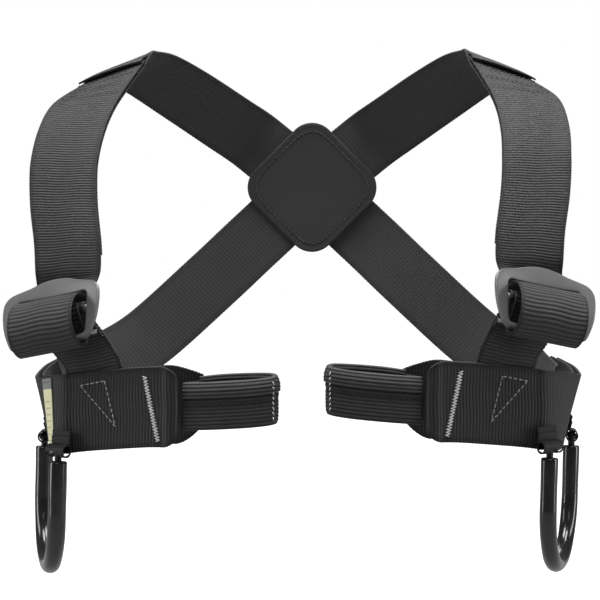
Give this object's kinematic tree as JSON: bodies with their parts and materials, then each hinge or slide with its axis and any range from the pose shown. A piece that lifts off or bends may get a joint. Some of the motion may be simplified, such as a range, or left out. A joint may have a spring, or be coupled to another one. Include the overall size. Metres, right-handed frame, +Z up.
{
  "type": "webbing chest harness",
  "caption": "Adjustable webbing chest harness with crossed back straps, doubled-back shoulder adjusters, sleeved front eyes and tubular gear loops.",
  "frame": {"origin": "centre of the crossing patch's inner face, the face that rests on the wearer's back", "axes": "+Z up as worn, -Y out of the wearer's chest, +X the wearer's left; right and left in names are the wearer's"},
  "size_m": [0.379, 0.2283, 0.3458],
  "materials": {
    "webbing": "ribbed matte",
    "sleeve": "ribbed matte",
    "dark_thread": "matte",
    "white_thread": "matte",
    "grey_thread": "matte",
    "plate_metal": "satin",
    "tube_plastic": "gloss",
    "cord": "matte",
    "label": "woven"
  },
  "bodies": {
    "harness": {"right_shoulder_strap": "webbing", "right_back_strap": "webbing", "right_shoulder_bar_tack": "dark_thread", "right_side_band_outer": "webbing", "right_side_band_lining": "webbing", "right_band_bar_tack": "white_thread", "right_triangle_stitch": "grey_thread", "right_rear_bar_tack": "dark_thread", "right_buckle_strap": "webbing", "right_buckle_strap_bar_tack": "white_thread", "right_gear_front_tab": "webbing", "right_gear_rear_tab": "webbing", "left_shoulder_strap": "webbing", "left_back_strap": "webbing", "left_shoulder_bar_tack": "dark_thread", "left_side_band_outer": "webbing", "left_side_band_lining": "webbing", "left_band_bar_tack": "white_thread", "left_triangle_stitch": "grey_thread", "left_rear_bar_tack": "dark_thread", "left_buckle_strap": "webbing", "left_buckle_strap_bar_tack": "white_thread", "left_gear_front_tab": "webbing", "left_gear_rear_tab": "webbing", "crossing_patch_inner": "webbing", "crossing_patch_outer": "webbing", "crossing_patch_stitching": "dark_thread"},
    "right_buckle": {"right_buckle_plate": "plate_metal", "right_adjuster_roll": "webbing"},
    "right_front_eye": {"right_eye_webbing": "webbing", "right_eye_sleeve": "sleeve", "right_eye_sleeve_seam": "dark_thread", "right_eye_tip_stitches": "white_thread"},
    "right_gear_loop": {"right_gear_cord": "cord", "right_gear_tube": "tube_plastic"},
    "left_buckle": {"left_buckle_plate": "plate_metal", "left_adjuster_roll": "webbing"},
    "left_front_eye": {"left_eye_webbing": "webbing", "left_eye_sleeve": "sleeve", "left_eye_sleeve_seam": "dark_thread", "left_eye_tip_stitches": "white_thread"},
    "left_gear_loop": {"left_gear_cord": "cord", "left_gear_tube": "tube_plastic"},
    "size_label_flap": {"size_label": "label", "size_label_stitching": "dark_thread"}
  },
  "joints": [
    {"name": "right_buckle_tilt", "type": "hinge", "parent": "harness", "child": "right_buckle", "pos_m": [-0.1588, -0.18767, -0.078], "axis": [0.9255, -0.3188, 0.2045], "range_deg": [0, 16]},
    {"name": "right_front_eye_fold", "type": "hinge", "parent": "harness", "child": "right_front_eye", "pos_m": [-0.0755, -0.2036, -0.131], "axis": [0, 0, -1], "range_deg": [-12, 20]},
    {"name": "right_gear_loop_swing", "type": "hinge", "parent": "harness", "child": "right_gear_loop", "pos_m": [-0.1562, -0.1904, -0.1646], "axis": [-0.2599, 0.9656, -0.0103], "range_deg": [-10, 40]},
    {"name": "left_buckle_tilt", "type": "hinge", "parent": "harness", "child": "left_buckle", "pos_m": [0.1508, -0.19043, -0.07], "axis": [0.9255, 0.3188, -0.2045], "range_deg": [0, 16]},
    {"name": "left_front_eye_fold", "type": "hinge", "parent": "harness", "child": "left_front_eye", "pos_m": [0.0755, -0.2036, -0.131], "axis": [0, 0, 1], "range_deg": [-12, 20]},
    {"name": "left_gear_loop_swing", "type": "hinge", "parent": "harness", "child": "left_gear_loop", "pos_m": [0.1562, -0.1904, -0.1606], "axis": [-0.2597, -0.9651, 0.034], "range_deg": [-10, 40]},
    {"name": "size_label_lift", "type": "hinge", "parent": "harness", "child": "size_label_flap", "pos_m": [-0.1652, -0.1749, -0.1202], "axis": [-0.5149, 0.8448, -0.146], "range_deg": [0, 70]}
  ]
}
